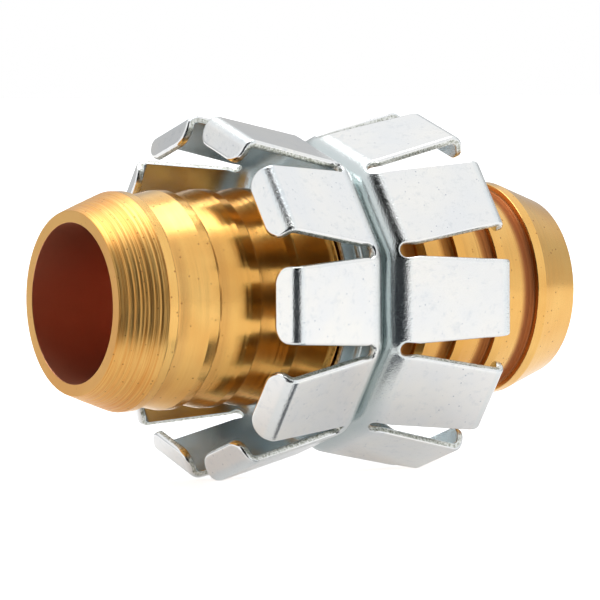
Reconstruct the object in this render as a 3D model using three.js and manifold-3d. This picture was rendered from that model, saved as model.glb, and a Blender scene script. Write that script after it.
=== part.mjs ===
// Clincher hose mender: a barbed brass tube that carries two sheet-steel clincher cups
// back to back. Each cup is a drawn ring with ten fingers, and each finger folds inwards
// about its own root to grip the end of a hose that has been pushed over the barbs.
//
// Millimetres. The tube lies along X with its middle at the origin, and +Z is up.

import * as THREE from 'three';
import { mergeVertices } from 'three/addons/utils/BufferGeometryUtils.js';
import Module from 'manifold-3d';

const wasm = await Module();
wasm.setup();

// ---- barbed tube ----
const tube_length = 41.6;
const bore_radius = 6.12;
const end_face_radius = 7.03;
const crest_radius = 8.4;
const barbs_per_side = 5;
const first_barb = 4.4;        // end face to the first barb's step
const barb_pitch = 3.64;
const land_width = 0.8;        // flat band behind each barb's step
const root_radius = 7.88;      // bottom of the step
const root_width = 0.45;
const tube_sides = 40;

// ---- clincher cups ----
const sheet = 0.6;             // thickness of the steel
const fingers = 10;
const seam_x = 0.3;            // the plane where the two cups stand back to back
const seam_gap = 0.1;
const neck_inner_radius = 8.55;
const neck_length = 2.1;
const neck_fillet = 0.6;
const bend_centre_radius = 10.0;
const bend_radius = 2.1;       // outside of the bend from the web into the fingers
const flare = THREE.MathUtils.degToRad(13.3);
const cup_sides = 4 * fingers;

// ---- fingers ----
const root_gap = 0.3;          // between the cup and each finger, where the sheet hinges
const tip_radius = 13.95;      // tube axis to the outside corner of the tip
const root_half_width = 3.3;
const tip_half_width = 2.92;
const lip_angle = THREE.MathUtils.degToRad(66);   // lip, measured down from the axis
const lip_length = 2.25;
const lip_corner = 1.3;
const tip_bend = 1.0;          // outside of the bend between finger and lip

const brass = new THREE.MeshStandardMaterial({ color: 0xd79a3c, roughness: 0.3, metalness: 1 });
const zinc = new THREE.MeshStandardMaterial({ color: 0xc9ced2, roughness: 0.35, metalness: 1 });

// Points on an arc about (cx, cy), in degrees, both ends included.
function arc(cx, cy, radius, from, to, steps) {
  const points = [];
  for (let i = 0; i <= steps; i += 1) {
    const angle = THREE.MathUtils.degToRad(from + (to - from) * i / steps);
    points.push([cx + radius * Math.cos(angle), cy + radius * Math.sin(angle)]);
  }
  return points;
}

// A closed section of [x, radius] points, turned about the X axis.
function turned(section, sides) {
  const profile = [...section, section[0]].map(([x, radius]) => new THREE.Vector2(radius, x));
  const geometry = new THREE.LatheGeometry(profile, sides);
  geometry.rotateZ(-Math.PI / 2);
  return geometry;
}

// A closed outline of [x, y] points, extruded along Z.
function prism(outline, depth) {
  const shape = new THREE.Shape(outline.map(([x, y]) => new THREE.Vector2(x, y)));
  return new THREE.ExtrudeGeometry(shape, { depth, bevelEnabled: false });
}

function solid(geometry) {
  geometry.deleteAttribute('normal');
  geometry.deleteAttribute('uv');
  const merged = mergeVertices(geometry);
  return new wasm.Manifold(new wasm.Mesh({
    numProp: 3,
    vertProperties: new Float32Array(merged.attributes.position.array),
    triVerts: new Uint32Array(merged.index.array),
  }));
}

function geometry_of(manifold) {
  const mesh = manifold.getMesh();
  const geometry = new THREE.BufferGeometry();
  geometry.setAttribute('position', new THREE.BufferAttribute(mesh.vertProperties, 3));
  geometry.setIndex(new THREE.BufferAttribute(mesh.triVerts, 1));
  geometry.computeVertexNormals();
  return geometry;
}

// One side of the tube's outline, from the end face to the middle: a conical nose, then
// barbs that rise to a land and drop square on the side that faces the cups.
function barb_outline() {
  const end = -tube_length / 2;
  const points = [[end, end_face_radius]];
  for (let barb = 0; barb < barbs_per_side; barb += 1) {
    const step = end + first_barb + barb * barb_pitch;
    points.push([step - land_width, crest_radius]);
    points.push([step, crest_radius]);
    points.push([step, root_radius]);
    if (barb < barbs_per_side - 1) points.push([step + root_width, root_radius]);
  }
  return points;
}

function make_barbed_tube() {
  const left = barb_outline();
  const right = left.map(([x, radius]) => [-x, radius]).reverse();
  const end = tube_length / 2;
  return turned([[-end, bore_radius], ...left, ...right, [end, bore_radius]], tube_sides);
}

const flare_degrees = THREE.MathUtils.radToDeg(flare);
const along = [Math.cos(flare), Math.sin(flare)];
const bend_end = [
  bend_radius * (1 - Math.sin(flare)),
  bend_centre_radius + bend_radius * Math.cos(flare),
];

// The cup's section, from the seam outwards in +X: neck, web and the bend that ends where
// the fingers start.
function cup_section() {
  const neck_outer = neck_inner_radius + sheet;
  const fillet_x = sheet + neck_fillet;
  const fillet_y = neck_outer + neck_fillet;
  const top = 90 + flare_degrees;
  return [
    [neck_length, neck_inner_radius],
    [neck_length, neck_outer],
    ...arc(fillet_x, fillet_y, neck_fillet, 270, 180, 3),
    ...arc(bend_radius, bend_centre_radius, bend_radius - sheet, 180, top, 5),
    ...arc(bend_radius, bend_centre_radius, bend_radius, top, 180, 5),
    ...arc(fillet_x, fillet_y, neck_fillet + sheet, 180, 270, 3),
  ].reverse();
}

// The neck and the web are round. Outside them the ring is a decagon with one flat for
// each finger, so its points are pushed out to the straight sides.
function make_cup() {
  const geometry = turned(cup_section(), cup_sides);
  const position = geometry.attributes.position;
  const side_angle = 2 * Math.PI / fingers;
  for (let i = 0; i < position.count; i += 1) {
    const y = position.getY(i);
    const z = position.getZ(i);
    if (Math.hypot(y, z) < bend_centre_radius + 0.01) continue;
    const turn = Math.atan2(z, y);
    const from_flat = turn - side_angle * Math.round(turn / side_angle);
    position.setXYZ(i, position.getX(i), y / Math.cos(from_flat), z / Math.cos(from_flat));
  }
  return geometry;
}

// A finger's side view: a straight flare, a bend and the lip that hooks inwards.
function finger_section() {
  const lip = [Math.cos(lip_angle), -Math.sin(lip_angle)];
  const inward = [Math.sin(flare), -Math.cos(flare)];
  const flat_length = (tip_radius - bend_end[1]) / along[1];
  const setback = tip_bend * Math.tan((flare + lip_angle) / 2);
  const at = (start, direction, distance) => [
    start[0] + direction[0] * distance,
    start[1] + direction[1] * distance,
  ];
  const root = at(bend_end, along, root_gap);
  const corner = at(bend_end, along, flat_length);
  const centre = at(at(corner, along, -setback), inward, tip_bend);
  const lip_end = at(corner, lip, lip_length);
  const lip_inner_end = at(lip_end, [-Math.sin(lip_angle), -Math.cos(lip_angle)], sheet);
  const from = 90 + flare_degrees;
  const to = 90 - THREE.MathUtils.radToDeg(lip_angle);
  const outline = [
    root,
    ...arc(...centre, tip_bend, from, to, 4),
    lip_end,
    lip_inner_end,
    ...arc(...centre, tip_bend - sheet, to, from, 4),
    at(root, inward, sheet),
  ];
  return { outline, corner, lip };
}

// Both lower corners of the lip are round: this is what lies outside one of them, in the
// plane of the lip, with y running down the lip.
function lip_corner_outline() {
  const centre_x = tip_half_width - lip_corner;
  const centre_y = lip_length - lip_corner;
  return [
    [centre_x, lip_length + 1],
    ...arc(centre_x, centre_y, lip_corner, 90, 0, 4),
    [tip_half_width + 1, centre_y],
    [tip_half_width + 1, lip_length + 1],
  ];
}

// A finger that points up, with its root towards -X.
function make_finger() {
  const { outline, corner, lip } = finger_section();
  const side_view = prism(outline, 2 * root_half_width);
  side_view.rotateX(Math.PI / 2);
  side_view.translate(0, root_half_width, 0);

  const far = corner[0] + lip_length;
  const plan = [
    [bend_end[0], -root_half_width],
    [corner[0], -tip_half_width],
    [far, -tip_half_width],
    [far, tip_half_width],
    [corner[0], tip_half_width],
    [bend_end[0], root_half_width],
  ];
  const top_view = prism(plan, tip_radius);
  top_view.translate(0, 0, tip_radius / 2);
  let finger = solid(side_view).intersect(solid(top_view));

  for (const side of [-1, 1]) {
    const outside = lip_corner_outline().map(([x, y]) => [side * x, y]);
    const cutter = prism(outside, 3 * sheet);
    cutter.translate(0, 0, -sheet);
    const across = new THREE.Vector3(0, 1, 0);
    const down = new THREE.Vector3(lip[0], 0, lip[1]);
    const through = new THREE.Vector3().crossVectors(across, down);
    const place = new THREE.Matrix4().makeBasis(across, down, through);
    place.setPosition(corner[0], 0, corner[1]);
    cutter.applyMatrix4(place);
    finger = finger.subtract(solid(cutter));
  }
  return geometry_of(finger);
}

const mender = new THREE.Group();

function add(parent, name, geometry, material) {
  const mesh = new THREE.Mesh(geometry, material);
  mesh.name = name;
  parent.add(mesh);
  return mesh;
}

add(mender, 'barbed_tube', make_barbed_tube(), brass);

const cup_geometry = make_cup();
const finger_geometry = make_finger();

// Finger 01 points at -Y and the numbers run over the top. The left cup is the right one
// turned half round, which also turns the fingers' order round.
for (const [side, turn] of [['left', -1], ['right', 1]]) {
  const cup = new THREE.Group();
  cup.position.x = seam_x + turn * seam_gap / 2;
  if (side === 'left') cup.rotation.z = Math.PI;
  mender.add(cup);
  add(cup, `${side}_clincher_cup`, cup_geometry, zinc);
  for (let i = 0; i < fingers; i += 1) {
    const name = `${side}_finger_${String(i + 1).padStart(2, '0')}`;
    const finger = add(cup, name, finger_geometry, zinc);
    finger.rotation.x = turn * (Math.PI / 2 - i * 2 * Math.PI / fingers);
  }
}

export default mender;
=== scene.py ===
# %% [markdown]
# # A clincher hose mender in brass and zinc-plated steel
# The mender joins two ends of garden hose. A turned brass tube with barbs goes into both
# hoses, and two pressed steel cups stand back to back on its middle. Each cup has ten
# fingers with a hooked lip, which are hammered down over the hose. The frame gives every
# body, joint and outer size. This script makes the fine surfaces and the finishes.

# %% Load the frame
import math
import random

import bmesh
import bpy
from mathutils import Matrix, Quaternion, Vector, noise


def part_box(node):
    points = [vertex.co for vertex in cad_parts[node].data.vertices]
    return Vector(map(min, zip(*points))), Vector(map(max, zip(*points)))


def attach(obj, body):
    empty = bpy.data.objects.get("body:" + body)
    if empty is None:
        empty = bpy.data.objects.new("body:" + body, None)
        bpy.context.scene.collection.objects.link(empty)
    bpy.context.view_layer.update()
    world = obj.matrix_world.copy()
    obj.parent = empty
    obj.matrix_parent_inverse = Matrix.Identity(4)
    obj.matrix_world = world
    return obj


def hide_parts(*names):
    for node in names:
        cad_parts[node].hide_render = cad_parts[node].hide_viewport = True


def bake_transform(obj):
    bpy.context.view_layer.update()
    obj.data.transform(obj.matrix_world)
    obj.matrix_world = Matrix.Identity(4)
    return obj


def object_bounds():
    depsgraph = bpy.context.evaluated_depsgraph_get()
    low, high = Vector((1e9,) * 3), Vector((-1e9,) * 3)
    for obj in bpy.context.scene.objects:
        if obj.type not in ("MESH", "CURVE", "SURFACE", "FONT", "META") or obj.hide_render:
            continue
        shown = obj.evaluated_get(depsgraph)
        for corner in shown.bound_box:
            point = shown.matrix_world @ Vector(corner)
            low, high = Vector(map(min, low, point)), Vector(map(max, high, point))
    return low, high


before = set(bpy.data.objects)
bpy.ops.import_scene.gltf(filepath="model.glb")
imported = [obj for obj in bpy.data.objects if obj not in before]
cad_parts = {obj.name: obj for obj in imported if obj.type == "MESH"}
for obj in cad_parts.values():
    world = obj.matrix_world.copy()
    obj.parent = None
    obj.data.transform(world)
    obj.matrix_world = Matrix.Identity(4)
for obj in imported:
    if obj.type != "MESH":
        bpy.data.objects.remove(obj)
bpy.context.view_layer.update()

# %% [markdown]
# Sizes that the frame already holds are read from it, so that a finer piece always fits the
# solid it stands for. What is left are the tool shapes: radii, gauges and angles.

# %% Sizes in metres
mm = 0.001
tube_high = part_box("barbed_tube")[1]
tube_end = tube_high.x
crest_radius = tube_high.z
left_cup_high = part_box("left_clincher_cup")[1]
right_cup_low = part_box("right_clincher_cup")[0]
seam_x = (left_cup_high.x + right_cup_low.x) / 2
floor_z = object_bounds()[0].z

finger_count = 10
half_sector = math.pi / finger_count
sides = {"left": -1, "right": 1}
print("tube", round(2 * tube_end / mm, 2), "mm long, seam at", round(seam_x / mm, 2), "mm")

# %% [markdown]
# ## Camera
# A long lens a third of a metre away flattens the perspective, as in a catalogue picture.
# The view comes in from the left of the front, a few degrees above the axis, so that one
# end of the tube opens towards the lens.

# %% Camera
camera_azimuth = math.radians(-32.63)
camera_elevation = math.radians(3.05)
camera_roll = math.radians(-0.32)
camera_distance = 0.3686

towards_camera = Vector((
    math.sin(camera_azimuth) * math.cos(camera_elevation),
    -math.cos(camera_azimuth) * math.cos(camera_elevation),
    math.sin(camera_elevation),
))
camera_data = bpy.data.cameras.new("catalogue_lens")
camera_data.lens = 284.3
camera_data.sensor_width = 36
camera_data.shift_x = -0.0064
camera_data.shift_y = -0.0095
camera_data.clip_start = 0.01
camera_data.clip_end = 10
camera = bpy.data.objects.new("camera", camera_data)
bpy.context.collection.objects.link(camera)
camera.location = towards_camera * camera_distance
camera.rotation_mode = "QUATERNION"
aim = (-towards_camera).to_track_quat("-Z", "Y")
camera.rotation_quaternion = aim @ Quaternion((0, 0, 1), camera_roll)
bpy.context.scene.camera = camera
print("camera at", [round(c, 4) for c in camera.location])

# %% [markdown]
# ## Helpers
# A bmesh is turned into an object here once, with its materials and its sharp edges. An
# edge between two faces is sharp when they meet at more than the given angle, so a turned
# surface stays smooth all the way round while its steps stay crisp.

# %% Make a piece from a bmesh
def make_piece(name, bm, materials, sharp_degrees):
    bmesh.ops.recalc_face_normals(bm, faces=bm.faces)
    mesh = bpy.data.meshes.new(name)
    bm.to_mesh(mesh)
    bm.free()
    for material in materials:
        mesh.materials.append(material)
    for polygon in mesh.polygons:
        polygon.use_smooth = True
    mesh.set_sharp_from_angle(angle=math.radians(sharp_degrees))
    piece = bpy.data.objects.new(name, mesh)
    bpy.context.collection.objects.link(piece)
    return piece


def bevel(bm, edges, radius, segments):
    return bmesh.ops.bevel(
        bm, geom=edges, offset=radius, offset_type="OFFSET", affect="EDGES",
        segments=segments, profile=0.5, material=-1, clamp_overlap=True,
    )


# %% Node helpers for the materials
class Nodes:
    """Adds nodes to one material and links them, a call for each node."""

    def __init__(self, name):
        self.material = bpy.data.materials.new(name)
        self.material.use_nodes = True
        self.tree = self.material.node_tree
        self.shader = self.tree.nodes["Principled BSDF"]

    def add(self, kind, inputs=None, **settings):
        node = self.tree.nodes.new(kind)
        for key, value in settings.items():
            setattr(node, key, value)
        for key, value in (inputs or {}).items():
            self.feed(node.inputs[key], value)
        return node

    def feed(self, socket, value):
        if isinstance(value, bpy.types.NodeSocket):
            self.tree.links.new(value, socket)
        else:
            socket.default_value = value

    def place(self, scale):
        """Object coordinates, stretched by scale along each axis."""
        coordinates = self.add("ShaderNodeTexCoord").outputs["Object"]
        return self.add("ShaderNodeMapping", {"Vector": coordinates, "Scale": scale}).outputs[0]

    def noise(self, scale, detail=2.0, roughness=0.5):
        fields = {"Vector": self.place(scale), "Scale": 1.0}
        fields.update({"Detail": detail, "Roughness": roughness})
        return self.add("ShaderNodeTexNoise", fields).outputs["Fac"]

    def along_tube(self):
        """The object's X, which runs along the tube."""
        return self.add("ShaderNodeSeparateXYZ", {"Vector": self.place((1, 1, 1))}).outputs["X"]

    def spots(self, density, inner, outer):
        """0 in small round spots, so many to the metre, and 1 between them."""
        fields = {"Vector": self.place((density, density, density)), "Scale": 1.0}
        return self.ramp(self.add("ShaderNodeTexVoronoi", fields).outputs["Distance"], inner, outer)

    def ramp(self, value, low, high, to_low=0.0, to_high=1.0):
        fields = {"Value": value, "From Min": low, "From Max": high}
        fields.update({"To Min": to_low, "To Max": to_high})
        return self.add("ShaderNodeMapRange", fields).outputs[0]

    def mix(self, factor, first, second):
        node = self.add("ShaderNodeMix", data_type="RGBA")
        self.feed(node.inputs["Factor"], factor)
        self.feed(node.inputs[6], first)
        self.feed(node.inputs[7], second)
        return node.outputs[2]

    def math(self, operation, first, second):
        return self.add("ShaderNodeMath", {0: first, 1: second}, operation=operation).outputs[0]

    def bump(self, height, distance, under=None):
        fields = {"Height": height, "Distance": distance, "Strength": 1.0}
        if under is not None:
            fields["Normal"] = under
        return self.add("ShaderNodeBump", fields).outputs[0]

    def shade(self, **inputs):
        for key, value in inputs.items():
            self.feed(self.shader.inputs[key.replace("_", " ")], value)


# %% [markdown]
# ## Tube sizes
# The barbs follow one pitch, so five numbers place them all. The materials need some of
# these sizes too, because the nose is cut more roughly and the roots carry painted shade.

# %% Tube sizes
bore_radius = 6.12 * mm
end_face_radius = 7.03 * mm
barbs_per_side = 5
first_barb = 4.4 * mm
barb_pitch = 3.64 * mm
land_width = 0.8 * mm
root_radius = 7.88 * mm
root_width = 0.45 * mm
mark_pitch = 0.14 * mm
nose_marks = {"left": 0.022 * mm, "right": 0.003 * mm}
taper_marks = (0.003 * mm, 0.008 * mm, 0.009 * mm, 0.006 * mm)
ding_depth = 0.03 * mm
ding_size = 0.35 * mm
ding_threshold = 0.15
rim_depth = 0.06 * mm
rim_width = 0.08 * mm
broken_edge = 0.05 * mm
root_fillet = 0.16 * mm
spin_steps = 240
rough_nose_x = -17.2 * mm
near_cups_from = 13.5 * mm
near_cups_until = 10 * mm
root_shade_top = root_radius + 0.20 * mm
root_shade_full = root_radius + 0.08 * mm

# %% [markdown]
# ## Turned brass
# The tube is turned from bar, so its marks are rings round the X axis. Noise that is
# squeezed along X and stretched across it gives rings that start and stop as real tool
# marks do. A fine and a coarse ring are added as bump. The nose at -X was cut with a
# faster feed, so its rings are deeper and it shines less.
#
# The colour drifts a little, and small dark nicks are scattered over it. The roots of the
# barbs are painted dark brown as painted shade, mostly at +X. Towards the cups the brass is
# darker and more orange, and the end faces are painted darker, as painted shade.

# %% Brass finish
clean_brass = ((0.84, 0.46, 0.13, 1), (0.91, 0.56, 0.18, 1))
ring_shadow = (0.72, 0.27, 0.05, 1)
painted_root_shade = (0.42, 0.13, 0.05, 1)
nick_colour = (0.45, 0.19, 0.05, 1)
orange_near_cups = (0.78, 0.37, 0.07, 1)
painted_end_shade = (0.60, 0.33, 0.10, 1)
ring_depth = {"barbs": 0.15, "nose": 1.4}


def make_brass():
    nodes = Nodes("turned_brass")
    along = nodes.along_tube()
    from_middle = nodes.math("ABSOLUTE", along, 0.0)
    rough_nose = nodes.ramp(along, rough_nose_x + 0.1 * mm, rough_nose_x)
    fine_rings = nodes.noise((13000, 110, 110), detail=3.0, roughness=0.65)
    coarse_rings = nodes.noise((3200, 60, 60), detail=2.0)
    patches = nodes.noise((260, 260, 260), detail=2.0)
    colour = nodes.mix(nodes.ramp(patches, 0.3, 0.7), *clean_brass)
    in_rings = nodes.ramp(fine_rings, 0.58, 0.38, 0.0, nodes.ramp(rough_nose, 0, 1, 0.12, 0.75))
    colour = nodes.mix(in_rings, colour, ring_shadow)

    # Painted shade in the roots of the barbs: dark brown, strongest at +X. It also makes them
    # rougher.
    off_axis = nodes.add("ShaderNodeVectorMath", {0: nodes.place((0, 1, 1))}, operation="LENGTH")
    in_root = nodes.ramp(off_axis.outputs["Value"], root_shade_top, root_shade_full)
    first_step = tube_end - first_barb
    on_barbs = nodes.ramp(from_middle, first_step + 0.05 * mm, first_step)
    more_at_right = nodes.ramp(along, -1 * mm, 1 * mm, 0.2, 1.0)
    root_shade = nodes.math("MULTIPLY", nodes.math("MULTIPLY", in_root, on_barbs), more_at_right)
    colour = nodes.mix(nodes.math("MULTIPLY", root_shade, 0.9), colour, painted_root_shade)

    colour = nodes.mix(nodes.spots(1500, 0.06, 0.14), nick_colour, colour)
    # The brass is darker and more orange towards the cups.
    near_cups = nodes.ramp(from_middle, near_cups_from, near_cups_until, 0.0, 0.5)
    colour = nodes.mix(near_cups, colour, orange_near_cups)
    # Painted shade: the end faces are painted darker.
    on_end = nodes.ramp(from_middle, tube_end - 0.03 * mm, tube_end - 0.01 * mm, 0.0, 0.7)
    colour = nodes.mix(on_end, colour, painted_end_shade)

    normal = nodes.bump(coarse_rings, 0.0030 * mm)
    depth = nodes.ramp(rough_nose, 0, 1, ring_depth["barbs"], ring_depth["nose"])
    ring_height = nodes.math("MULTIPLY", fine_rings, depth)
    normal = nodes.bump(ring_height, 0.018 * mm, normal)
    roughness = nodes.ramp(rough_nose, 0, 1, nodes.ramp(root_shade, 0, 1, 0.19, 0.5), 0.36)
    nodes.shade(Base_Color=colour, Metallic=1.0, Roughness=roughness, Normal=normal)
    return nodes.material


brass = make_brass()

# %% [markdown]
# The bore is drilled and never polished, so it is rougher than the outside. Its brass is
# painted redder, as painted shade: light reaches it only after several bounces, so it looks
# dark.

# %% Drilled brass finish
def make_shaded_bore_brass():
    nodes = Nodes("drilled_brass_painted_shade")
    rings = nodes.noise((5000, 120, 120), detail=2.0)
    patches = nodes.noise((180, 180, 180), detail=2.0)
    # Painted shade: a redder copy of the brass for the bore.
    colour = nodes.mix(patches, (0.81, 0.38, 0.24, 1), (0.87, 0.44, 0.28, 1))
    normal = nodes.bump(rings, 0.002 * mm)
    nodes.shade(Base_Color=colour, Metallic=1.0, Roughness=0.42, Normal=normal)
    return nodes.material


shaded_bore_brass = make_shaded_bore_brass()

# %% [markdown]
# ## Zinc plate
# Bright zinc over pressed steel is almost white with a cool tint. Close up it has a fine
# grain, which breaks up the edge of every reflection, a slow waviness from the press, and
# scattered dark pits and rubs. Noise and cells give these. The grain is coarser where the
# sheet was stretched round a bend, which each piece says with an attribute on its vertices.
#
# The inner side of the sheet keeps more of the passivation, so it is duller and teal, and it
# is also painted darker, as painted shade on the side that faces the tube. The groove between
# the two cups is painted darker and teal, as painted shade.

# %% Zinc finish
rub_colour = (0.52, 0.57, 0.62, 1)
pit_colour = (0.42, 0.46, 0.52, 1)
groove_shade_colour = (0.53, 0.59, 0.58, 1)
painted_bend_reflection = (0.54, 0.67, 0.73, 1)
bright_pair = ((0.845, 0.85, 0.85, 1), (0.90, 0.885, 0.85, 1))
teal_shaded_pair = ((0.58, 0.65, 0.68, 1), (0.75, 0.81, 0.83, 1))
groove_shade_from = 1.5 * mm
groove_shade_until = 0.5 * mm
flat_grain = 0.3
stretched_grain = 1.8


def make_zinc(name, cool, warm, lowest_roughness):
    nodes = Nodes(name)
    grain = nodes.noise((9000, 9000, 9000), detail=2.0)
    waves = nodes.noise((420, 420, 420), detail=1.0)
    tint = nodes.noise((240, 240, 240), detail=2.0)
    rubs = nodes.noise((1500, 1500, 1500), detail=4.0, roughness=0.7)
    colour = nodes.mix(nodes.ramp(tint, 0.35, 0.65), cool, warm)
    colour = nodes.mix(nodes.ramp(rubs, 0.54, 0.74, 0.0, 0.3), colour, rub_colour)
    pit_patches = nodes.ramp(nodes.noise((700, 700, 700), detail=2.0), 0.50, 0.62)
    between_patches = nodes.math("SUBTRACT", 1.0, pit_patches)
    clear = nodes.math("MAXIMUM", nodes.spots(1900, 0.04, 0.15), between_patches)
    colour = nodes.mix(clear, pit_colour, colour)

    # Painted shade: darker and teal towards the groove between the cups.
    from_seam = nodes.math("ABSOLUTE", nodes.math("SUBTRACT", nodes.along_tube(), seam_x), 0.0)
    groove_shade = nodes.ramp(from_seam, groove_shade_from, groove_shade_until, 0.0, 0.7)
    colour = nodes.mix(groove_shade, colour, groove_shade_colour)
    # Painted reflection: the bends are tinted bluish, for the bluish dark opening that they
    # reflect.
    stretched = nodes.add("ShaderNodeAttribute", attribute_name="stretched").outputs["Fac"]
    colour = nodes.mix(nodes.ramp(stretched, 0, 1, 0.0, 0.2), colour, painted_bend_reflection)

    normal = nodes.bump(waves, 0.006 * mm)
    coarseness = nodes.ramp(stretched, 0, 1, flat_grain, stretched_grain)
    grain_height = nodes.math("MULTIPLY", grain, coarseness)
    normal = nodes.bump(grain_height, 0.017 * mm, normal)
    roughness = nodes.ramp(tint, 0.3, 0.7, lowest_roughness, lowest_roughness + 0.05)
    nodes.shade(Base_Color=colour, Metallic=1.0, Roughness=roughness, Normal=normal)
    return nodes.material


zinc = make_zinc("bright_zinc", *bright_pair, lowest_roughness=0.07)
# The inner side: teal from its passivation, and painted darker as shade.
shaded_inner_zinc = make_zinc("shaded_inner_zinc", *teal_shaded_pair, lowest_roughness=0.22)

# %% [markdown]
# A sheared edge is duller than the face of the sheet. The punch leaves a torn band with
# short marks across the thickness, and the plating is thin and a little yellow there.

# %% Sheared edge finish
def make_sheared_zinc():
    nodes = Nodes("sheared_zinc")
    tears = nodes.noise((5200, 5200, 5200), detail=3.0, roughness=0.7)
    colour = nodes.mix(nodes.ramp(tears, 0.36, 0.58), (0.30, 0.31, 0.25, 1), (0.84, 0.85, 0.81, 1))
    normal = nodes.bump(tears, 0.012 * mm)
    nodes.shade(Base_Color=colour, Metallic=1.0, Roughness=0.34, Normal=normal)
    return nodes.material


sheared_zinc = make_sheared_zinc()
print("materials:", [m.name for m in (brass, shaded_bore_brass, zinc, shaded_inner_zinc, sheared_zinc)])

# %% [markdown]
# ## The barbed tube
# A lathe makes this part from one outline, and Blender's spin does the same. The outline is
# the nose, then barbs that rise to a flat land and drop square towards the middle. The
# tapers carry real tool marks: small seeded steps in the radius, deepest on the nose.

# %% One side of the outline
def taper(start, end, depth, chance):
    """Points from start towards end, which is left out, with tool marks of that depth."""
    count = round((end[0] - start[0]) / mark_pitch)
    points = [start]
    for i in range(1, count):
        part = i / count
        radius = start[1] + (end[1] - start[1]) * part
        x = start[0] + (end[0] - start[0]) * part
        points.append((x, radius + chance.uniform(-depth, depth)))
    return points


def half_outline(seed, nose_mark):
    """From the end face at -X to the step of the last barb, as (x, radius) points."""
    chance = random.Random(seed)
    land = -tube_end + first_barb - land_width
    points = taper((-tube_end, end_face_radius), (land, crest_radius), nose_mark, chance)
    for barb in range(barbs_per_side):
        step = -tube_end + first_barb + barb * barb_pitch
        points += [(step - land_width, crest_radius), (step, crest_radius), (step, root_radius)]
        if barb < barbs_per_side - 1:
            root = (step + root_width, root_radius)
            next_land = (step + barb_pitch - land_width, crest_radius)
            points += taper(root, next_land, taper_marks[barb], chance)
    return points


# %% Spin the tube
def ding_edges(bm):
    """Handling leaves small dents in the crests and in the rims of the end faces."""
    for vert in bm.verts:
        radius = math.hypot(vert.co.y, vert.co.z)
        on_rim = abs(vert.co.x) > tube_end - rim_depth and radius > end_face_radius - rim_width
        if radius > crest_radius - rim_depth or on_rim:
            dent = max(noise.noise(vert.co / ding_size) - ding_threshold, 0) * ding_depth
            shrink = 1 - dent / radius
            vert.co.y *= shrink
            vert.co.z *= shrink


def make_tube():
    left = half_outline(3, nose_marks["left"])
    right = [(-x, radius) for x, radius in reversed(half_outline(8, nose_marks["right"]))]
    outline = [(-tube_end, bore_radius), *left, *right, (tube_end, bore_radius)]
    bm = bmesh.new()
    corners = [bm.verts.new((x, 0, radius)) for x, radius in outline]
    edges = [bm.edges.new(pair) for pair in zip(corners, corners[1:] + corners[:1])]
    bmesh.ops.spin(
        bm, geom=corners + edges, cent=(0, 0, 0), axis=(1, 0, 0),
        angle=2 * math.pi, steps=spin_steps, use_merge=True,
    )
    bmesh.ops.recalc_face_normals(bm, faces=bm.faces)
    folds = [e for e in bm.edges if len(e.link_faces) == 2]
    square = [e for e in folds if e.calc_face_angle() > math.radians(40)]
    outer = [e for e in square if e.is_convex]
    inner = [e for e in square if not e.is_convex]
    bevel(bm, outer, broken_edge, 2)
    bevel(bm, [e for e in inner if e.is_valid], root_fillet, 4)
    for face in bm.faces:
        middle = face.calc_center_median()
        face.material_index = int(math.hypot(middle.y, middle.z) < bore_radius + 0.01 * mm)
    ding_edges(bm)
    piece = make_piece("brass_tube", bm, [brass, shaded_bore_brass], sharp_degrees=8)
    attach(piece, "core")
    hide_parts("barbed_tube")
    print(piece.name, "faces:", len(piece.data.polygons))
    return piece


make_tube()

# %% [markdown]
# ## The sheet, from flat to folded
# The steel is cut flat and then folded, and the pieces here are made the same way. A blank
# is a flat outline with u along the sheet and v across it. It is given its thickness and
# rolled edges while it is flat, and cut across wherever it has to bend. Then every vertex
# is carried to its folded place. Zero of u is the line where a finger leaves the cup's
# bend, so the cup lies at minus u and the finger at plus u.

# %% Sheet sizes
sheet = 0.6 * mm
neck_outer_radius = 9.05 * mm
neck_length = 2.1 * mm
neck_fillet = 0.6 * mm
bend_centre_radius = 10.0 * mm
bend_radius = 2.1 * mm
flare = math.radians(13.3)
tip_radius = 13.94 * mm
lip_angle = math.radians(66)
lip_length = 2.25 * mm
tip_bend = 1.0 * mm
corner_round = 2.5 * mm

finger_start = 0.9 * mm
slot_radius = 0.6 * mm
slot_start = {"left": -0.18 * mm, "right": -0.73 * mm}
tip_half_width = 2.92 * mm
lip_corner = 1.35 * mm
outside_roll = 0.22 * mm
inside_roll = 0.06 * mm
holding_strip = 0.05 * mm

# %% The folded side view as a chain of lines and arcs
bend_end = Vector((
    bend_radius * (1 - math.sin(flare)),
    bend_centre_radius + bend_radius * math.cos(flare),
))
flat_to_corner = (tip_radius - bend_end.y) / math.sin(flare)
tip_turn = flare + lip_angle
setback = tip_bend * math.tan(tip_turn / 2)
flat_length = flat_to_corner - setback
tip_arc = tip_bend * tip_turn
lip_straight = lip_length - setback
finger_length = flat_length + tip_arc + lip_straight

cup_arc = bend_radius * (math.pi / 2 - flare)
web_length = bend_centre_radius - (neck_outer_radius + neck_fillet)
neck_bend = neck_fillet + sheet
neck_arc = neck_bend * math.pi / 2
neck_straight = neck_length - neck_bend
cup_length = cup_arc + web_length + neck_arc + neck_straight


def walk(length, pieces, start, heading):
    """Follows (length, radius) pieces from a point: radius 0 is straight, and else the
    heading turns clockwise on the way out. Gives the point and the heading reached."""
    point = start.copy()
    for piece_length, radius in pieces:
        step = min(length, piece_length)
        if radius:
            turn = step / radius
            side = Vector((math.sin(heading), -math.cos(heading)))
            centre = point + side * radius
            heading -= turn
            point = centre + Vector((-math.sin(heading), math.cos(heading))) * radius
        else:
            point = point + Vector((math.cos(heading), math.sin(heading))) * step
        length -= step
        if length <= 0:
            break
    return point, heading


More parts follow.
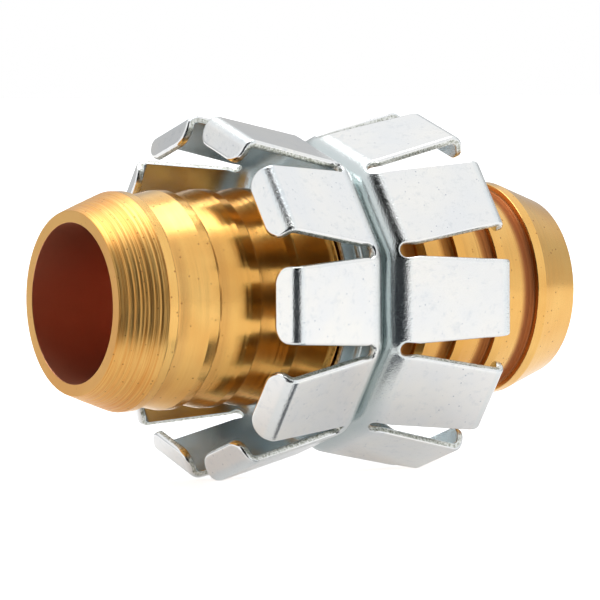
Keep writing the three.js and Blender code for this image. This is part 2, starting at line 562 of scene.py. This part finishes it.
finger_chain = [(flat_length, 0), (tip_arc, tip_bend), (lip_straight, 0)]
cup_chain = [(neck_straight, 0), (neck_arc, neck_bend), (web_length, 0), (cup_arc, bend_radius)]
neck_end = Vector((neck_length, neck_outer_radius - sheet))


def side_view(u, depth):
    """Where a point at u along the sheet, and depth below its outer face, ends up."""
    if u >= 0:
        point, heading = walk(u, finger_chain, bend_end, flare)
    else:
        point, heading = walk(cup_length + u, cup_chain, neck_end, math.pi)
    below = Vector((math.sin(heading), -math.cos(heading)))
    return point + below * depth


print("finger", round(finger_length / mm, 2), "mm flat, cup", round(cup_length / mm, 2), "mm")
print("cup chain ends at", side_view(-1e-9, 0) / mm, "finger chain starts at", bend_end / mm)

# %% [markdown]
# The neck is round and the bend is ten-sided. Across one tenth of the cup, the radius
# follows a flat side with a rounded corner, and fades into a circle on the way to the neck.

# %% From the side view to the ring
def smooth(value, low, high):
    part = min(max((value - low) / (high - low), 0), 1)
    return part * part * (3 - 2 * part)


def ten_sided(radius, turn):
    """Distance from the axis to a ten-sided outline with round corners, at turn from the
    middle of a side that is radius away."""
    corner = (radius - corner_round) / math.cos(half_sector)
    rest = half_sector - abs(turn)
    tangent = math.atan((radius - corner_round) * math.tan(half_sector) / radius)
    if abs(turn) <= tangent:
        return radius / math.cos(turn)
    return corner * math.cos(rest) + math.sqrt(corner_round ** 2 - (corner * math.sin(rest)) ** 2)


round_until = -(cup_arc + web_length)
straight_from = -0.6 * cup_arc
half_side = bend_end.y * math.tan(half_sector)


def fold(u, v, depth):
    """Carries a point of the flat blank to its place in a finger that points at +Z."""
    place = side_view(u, depth)
    radius = place.y
    if u < 0:
        turn = math.atan(v / half_side * math.tan(half_sector))
        flatness = smooth(u, round_until, straight_from)
        reach = radius + (ten_sided(radius, turn) - radius) * flatness
        return Vector((place.x, reach * math.sin(turn), reach * math.cos(turn)))
    mitre = 1 - smooth(u, 0, finger_start)
    across = v * (1 + (radius / side_view(u, 0).y - 1) * mitre)
    turn = math.atan(across / radius)
    pull = ten_sided(radius, min(abs(turn), half_sector)) * math.cos(turn) / radius
    pull = 1 + (pull - 1) * mitre
    return Vector((place.x, across * pull, radius * pull))


# %% [markdown]
# A blank is one flat face, so its outline is exact and its edges bevel cleanly. A narrow
# strip is inset just inside the rolled edges, which keeps the shading of the flat from
# being pulled round by the roll. The cuts across it come last, because a bevel next to
# many close cuts would have no room.

# %% Cut a flat blank
def cut_blank(outline, is_join, u_cuts, v_cuts):
    """A plate from an outline of (u, v) points, anticlockwise. is_join(u, v) says where its
    edge meets another piece, and is neither rolled nor sheared."""
    bm = bmesh.new()
    top = bm.faces.new([bm.verts.new((u, v, 0)) for u, v in outline])
    grown = bmesh.ops.extrude_face_region(bm, geom=[top])
    raised = [item for item in grown["geom"] if isinstance(item, bmesh.types.BMVert)]
    lowered = [vert for vert in bm.verts if vert not in raised]
    bmesh.ops.translate(bm, verts=lowered, vec=(0, 0, -sheet))
    bmesh.ops.recalc_face_normals(bm, faces=bm.faces)

    def rim(z):
        level = [e for e in bm.edges if all(abs(vert.co.z - z) < 1e-7 for vert in e.verts)]
        middles = [(e, (e.verts[0].co + e.verts[1].co) / 2) for e in level]
        return [e for e, middle in middles if not is_join(middle.x, middle.y)]

    bevel(bm, rim(0), outside_roll, 3)
    bevel(bm, rim(-sheet), inside_roll, 2)
    for face in bm.faces:
        middle = face.calc_center_median()
        upright = abs(face.normal.z) < 0.1
        if upright and not is_join(middle.x, middle.y):
            face.material_index = 1
        elif face.normal.z < -0.1:
            face.material_index = 2
    level = [face for face in bm.faces if abs(face.normal.z) > 0.999 and len(face.verts) > 8]
    bmesh.ops.inset_region(bm, faces=level, thickness=holding_strip, use_even_offset=True)
    for axis, cuts in ((Vector((1, 0, 0)), u_cuts), (Vector((0, 1, 0)), v_cuts)):
        for cut in cuts:
            everything = bm.verts[:] + bm.edges[:] + bm.faces[:]
            bmesh.ops.bisect_plane(
                bm, geom=everything, dist=1e-8, plane_co=axis * cut, plane_no=axis,
            )
    return bm


def spread(start, end, count):
    """count + 1 values from start to end."""
    return [start + (end - start) * i / count for i in range(count + 1)]


# %% Outline sizes that follow from the fold
half_side_growth = math.sin(flare) * math.tan(half_sector)
root_half_width = half_side + slot_radius * half_side_growth - slot_radius


def finger_half_width(u):
    part = min((u - slot_radius) / (flat_to_corner - slot_radius), 1)
    return root_half_width + (tip_half_width - root_half_width) * part


def join_end():
    """The +v half of the line where cup and finger meet. Its inner point keeps the tilt of
    the rolled edge from spreading along that line."""
    half_width = finger_half_width(finger_start)
    flat_half_width = half_width - outside_roll - 2 * holding_strip
    return [(finger_start, flat_half_width), (finger_start, half_width)]


def both_sides(upper):
    """Closes an outline from its +v half, given from low u to high u."""
    return [(u, -v) for u, v in upper] + [(u, v) for u, v in reversed(upper)]


def quarter(centre_u, centre_v, radius, from_degrees, to_degrees, steps):
    turns = [math.radians(t) for t in spread(from_degrees, to_degrees, steps)]
    return [(centre_u + radius * math.cos(t), centre_v + radius * math.sin(t)) for t in turns]


# %% [markdown]
# ## The cups
# One tenth of a cup is cut, folded and repeated round the axis. Between two fingers the
# slot ends in a half circle, and each tenth holds a quarter of it on either side.

# %% Where a tenth belongs, and how much it was stretched
turn_over = {"left": Matrix.Rotation(math.pi, 4, "Z"), "right": Matrix.Identity(4)}
seam_clearance = 0.01 * mm
steel_finishes = [zinc, sheared_zinc, shaded_inner_zinc]
sheet_sharp_degrees = 32
stretch_fade = 0.3 * mm
root_stretch = 0.6


def finger_place(side, index):
    """Where a piece that was folded pointing at +Z belongs."""
    shift = Matrix.Translation((seam_x + sides[side] * seam_clearance, 0, 0))
    turn = math.pi / 2 - index * 2 * half_sector
    return shift @ Matrix.Rotation(turn, 4, "X") @ turn_over[side]


def stretch(u):
    """How much the sheet was stretched at u: 1 in the tight bend of a tip, less in the wide
    bend at the root, and 0 on the flats."""
    from_root = max(-cup_arc - u, u, 0)
    from_tip = abs(u - flat_length - tip_arc / 2)
    at_root = root_stretch * (1 - smooth(from_root, 0, stretch_fade))
    return max(at_root, 1 - smooth(from_tip, tip_arc / 4, tip_arc / 2))


def fold_blank(bm):
    """Folds every vertex of a flat blank, and notes how much the sheet is stretched there."""
    layer = bm.verts.layers.float.new("stretched")
    for vert in bm.verts:
        vert[layer] = stretch(vert.co.x)
        vert.co = fold(vert.co.x, vert.co.y, -vert.co.z)


# %% Make a cup
def make_cup(side):
    slot = quarter(slot_start[side] + slot_radius, half_side, slot_radius, 180, 270, 8)
    slot = [(u, v + max(u, 0) * half_side_growth) for u, v in slot]
    upper = [(-cup_length, half_side), *slot, *reversed(join_end())]

    def is_join(u, v):
        at_side = -cup_length + 1e-6 < u < slot_start[side] and abs(v) > half_side - 1e-6
        return at_side or u > finger_start - 1e-6

    bend_cuts = spread(-cup_length, -cup_length + neck_straight, 3)[1:]
    bend_cuts += spread(-cup_arc - web_length - neck_arc, -cup_arc - web_length, 8)[1:]
    bend_cuts += spread(-cup_arc, 0, 16) + spread(0, finger_start, 6)[1:-1]
    corner = corner_round * math.tan(half_sector)
    v_cuts = spread(corner - half_side, half_side - corner, 10)
    v_cuts += [s * v for s in (-1, 1) for v in spread(half_side - corner, half_side, 4)[1:-1]]
    bm = cut_blank(both_sides(upper), is_join, bend_cuts, v_cuts)

    def at_wall(vert):
        return abs(vert.co.y) > half_side - 1e-7 and vert.co.x < slot_start[side] + 1e-7

    walls = [face for face in bm.faces if all(at_wall(vert) for vert in face.verts)]
    bmesh.ops.delete(bm, geom=walls, context="FACES")
    fold_blank(bm)
    bmesh.ops.spin(
        bm, geom=bm.verts[:] + bm.edges[:] + bm.faces[:], cent=(0, 0, 0), axis=(1, 0, 0),
        angle=2 * math.pi * (finger_count - 1) / finger_count, steps=finger_count - 1,
        use_duplicate=True,
    )
    bmesh.ops.remove_doubles(bm, verts=bm.verts, dist=2e-7)
    bmesh.ops.transform(bm, verts=bm.verts, matrix=finger_place(side, 0))
    loose = [e for e in bm.edges if len(e.link_faces) != 2]
    piece = make_piece(f"{side}_cup", bm, steel_finishes, sheet_sharp_degrees)
    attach(piece, "core")
    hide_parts(f"{side}_clincher_cup")
    print(piece.name, "faces:", len(piece.data.polygons), "open edges:", len(loose))
    return piece


for side in sides:
    make_cup(side)

# %% [markdown]
# ## The fingers
# A finger starts on the flat just past the slot, where it meets the cup's own stub face to
# face. Its lip has two round corners. A real finger has no hinge: its sheet bends near the
# root, so the piece is cut across closely over a short stretch there.

# %% Make the fingers
bending_stretch = 2.2 * mm


def finger_outline():
    lip_side = finger_length - lip_corner
    upper = [*join_end(), (flat_length, finger_half_width(flat_length))]
    upper += [(flat_to_corner, tip_half_width)]
    upper += quarter(lip_side, tip_half_width - lip_corner, lip_corner, 90, 0, 10)
    return both_sides(upper)


def make_finger(side, index):
    bend_stop = finger_start + bending_stretch
    bend_cuts = spread(finger_start, bend_stop, 8)[1:]
    tip_end = flat_length + tip_arc
    bend_cuts += [flat_length - holding_strip, *spread(flat_length, tip_end, 12)]
    bend_cuts += [tip_end + holding_strip]
    bm = cut_blank(finger_outline(), lambda u, v: u < finger_start + 1e-6, bend_cuts, [])
    fold_blank(bm)
    place = finger_place(side, index)
    bmesh.ops.transform(bm, verts=bm.verts, matrix=place)
    number = f"{index + 1:02d}"
    name = f"{side}_finger_{number}"
    piece = make_piece(f"{side}_steel_finger_{number}", bm, steel_finishes, sheet_sharp_degrees)
    start, end = [place @ fold(u, 0, sheet / 2) for u in (finger_start, bend_stop)]
    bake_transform(piece)
    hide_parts(name)
    return piece


steel_fingers = [make_finger(side, index) for side in sides for index in range(finger_count)]
print("fingers:", len(steel_fingers), "faces each:", len(steel_fingers[0].data.polygons))

# %% [markdown]
# ## The studio
# Bright metal shows the room, not itself. The room here is a white tent that is open
# towards the camera: that opening is the dark band in every bend that faces the lens. The
# sky holds the tent, which is brighter overhead. Two cards on the table are seen only in
# reflections: a dark one carries the opening down to the part, and a grey one is the shadow
# close to it. A lamp above throws the faint shadow that the camera sees on the table. Rays
# from the camera itself see plain white.

# %% Sky
def make_sky():
    world = bpy.data.worlds.new("white_tent")
    bpy.context.scene.world = world
    world.use_nodes = True
    tree = world.node_tree
    tree.nodes.clear()

    def add(kind, inputs=None, **settings):
        node = tree.nodes.new(kind)
        for key, value in settings.items():
            setattr(node, key, value)
        for key, value in (inputs or {}).items():
            if isinstance(value, bpy.types.NodeSocket):
                tree.links.new(value, node.inputs[key])
            else:
                node.inputs[key].default_value = value
        return node

    def calculate(operation, first, second=0.0):
        return add("ShaderNodeMath", {0: first, 1: second}, operation=operation).outputs[0]

    def soft_step(value, low, high):
        fields = {"Value": value, "From Min": low, "From Max": high}
        return add("ShaderNodeMapRange", fields, interpolation_type="SMOOTHSTEP").outputs[0]

    look = add("ShaderNodeTexCoord").outputs["Generated"]
    towards_lens = {"Vector": look, "Angle": -camera_azimuth}
    turned = add("ShaderNodeVectorRotate", towards_lens, rotation_type="Z_AXIS")
    axes = add("ShaderNodeSeparateXYZ", {"Vector": turned.outputs[0]}).outputs
    front = calculate("MULTIPLY", axes["Y"], -1.0)
    aside = calculate("ABSOLUTE", calculate("ARCTAN2", axes["X"], front))
    height = calculate("ARCSINE", axes["Z"])
    past_side = soft_step(aside, opening_half_width - edge, opening_half_width + edge)
    between = calculate("SUBTRACT", 1.0, past_side)
    past_top = soft_step(height, opening_top - edge, opening_top + edge)
    below_top = calculate("SUBTRACT", 1.0, past_top)
    opening = calculate("MULTIPLY", between, below_top)
    lamp = soft_step(height, lamp_low, lamp_high)
    white = calculate("ADD", tent_light, calculate("MULTIPLY", lamp, lamp_light))
    above = soft_step(height, backdrop_top - backdrop_edge, backdrop_top + backdrop_edge)
    low = calculate("SUBTRACT", 1.0, above)
    behind = soft_step(calculate("MULTIPLY", front, -1.0), 0.0, 0.5)
    backdrop = calculate("MULTIPLY", calculate("MULTIPLY", low, behind), backdrop_dimming)
    white = calculate("MULTIPLY", white, calculate("SUBTRACT", 1.0, backdrop))
    open_light = calculate("SUBTRACT", 1.0, calculate("MULTIPLY", opening, opening_depth))
    seen = calculate("MULTIPLY", white, open_light)
    is_camera = add("ShaderNodeLightPath").outputs["Is Camera Ray"]
    tent = add("ShaderNodeBackground", {"Color": (0.97, 0.985, 1.0, 1), "Strength": seen})
    paper = add("ShaderNodeBackground", {"Color": (1, 1, 1, 1), "Strength": 1.0})
    pick = add("ShaderNodeMixShader", {0: is_camera, 1: tent.outputs[0], 2: paper.outputs[0]})
    add("ShaderNodeOutputWorld", {"Surface": pick.outputs[0]})


opening_half_width = math.radians(33)
opening_top = math.radians(74)
opening_depth = 0.985
edge = math.radians(3)
lamp_low = math.radians(64)
lamp_high = lamp_low + 4 * edge
tent_light = 1.0
lamp_light = 0.8
backdrop_top = math.radians(28)
backdrop_edge = 3 * edge
backdrop_dimming = 0.42
make_sky()


# %% Table, cards and lamp
table_radius = 2.5
table_glow = 0.38
table_glow_seen = 0.80
card_x = -15 * mm
card_start = 22 * mm
card_end = 1.5
card_lift = 0.3 * mm
shadow_outline = (
    (-6.1, -10.3), (-8.4, -10.8), (-8, -15.8), (-6, -20.5), (0.7, -21), (1.3, -14.5), (-3, -13.8),
)
lamp_place = (0.05, 0.1, 0.6)
lamp_size = 0.5
lamp_watts = 1.2


def make_plain(name, colour, roughness):
    nodes = Nodes(name)
    nodes.shade(Base_Color=colour, Roughness=roughness)
    return nodes.material


def make_table():
    """A white table. To the camera it glows a little, which keeps its shadow faint."""
    nodes = Nodes("pale_table")
    is_camera = nodes.add("ShaderNodeLightPath").outputs["Is Camera Ray"]
    glow = nodes.ramp(is_camera, 0, 1, table_glow, table_glow_seen)
    nodes.shade(Base_Color=(0.62, 0.62, 0.62, 1), Roughness=0.6, Specular_IOR_Level=0.2,
                Emission_Color=(1, 1, 1, 1), Emission_Strength=glow)
    bm = bmesh.new()
    bmesh.ops.create_circle(bm, cap_ends=True, segments=96, radius=table_radius)
    bmesh.ops.translate(bm, verts=bm.verts, vec=(0, 0, floor_z))
    table = make_piece("table", bm, [nodes.material], 30)
    return table


def make_cards():
    """The tent's opening where it reaches down to the table, and the shadow just in front of
    the part. Only reflections see them."""
    turns = spread(camera_azimuth - opening_half_width, 0, 12)
    level = floor_z + card_lift

    def arc(reach):
        return [(card_x + reach * math.sin(a), -reach * math.cos(a), level) for a in turns]

    opening_card = [*arc(card_start), *reversed(arc(card_end))]
    shadow_card = [(x * mm, y * mm, level) for x, y in shadow_outline]
    bm = bmesh.new()
    for index, corners in enumerate((opening_card, shadow_card)):
        bm.faces.new([bm.verts.new(corner) for corner in corners]).material_index = index
    dark = make_plain("dark_card", (0.010, 0.014, 0.022, 1), 0.9)
    shadow = make_plain("shadow_card", (0.09, 0.10, 0.12, 1), 0.9)
    cards = make_piece("dark_cards", bm, [dark, shadow], 30)
    cards.visible_camera = False
    cards.visible_diffuse = False
    cards.visible_shadow = False
    cards.visible_transmission = False
    return cards


def make_lamp():
    data = bpy.data.lights.new("overhead", "AREA")
    data.shape = "DISK"
    data.size = lamp_size
    data.energy = lamp_watts
    lamp = bpy.data.objects.new("overhead", data)
    lamp.location = lamp_place
    x, y, z = lamp_place
    lamp.rotation_euler = (-math.atan2(y, z), math.atan2(x, z), 0)
    bpy.context.collection.objects.link(lamp)


make_table()
make_cards()
make_lamp()
bpy.context.scene.view_settings.view_transform = "Standard"
print("studio ready")
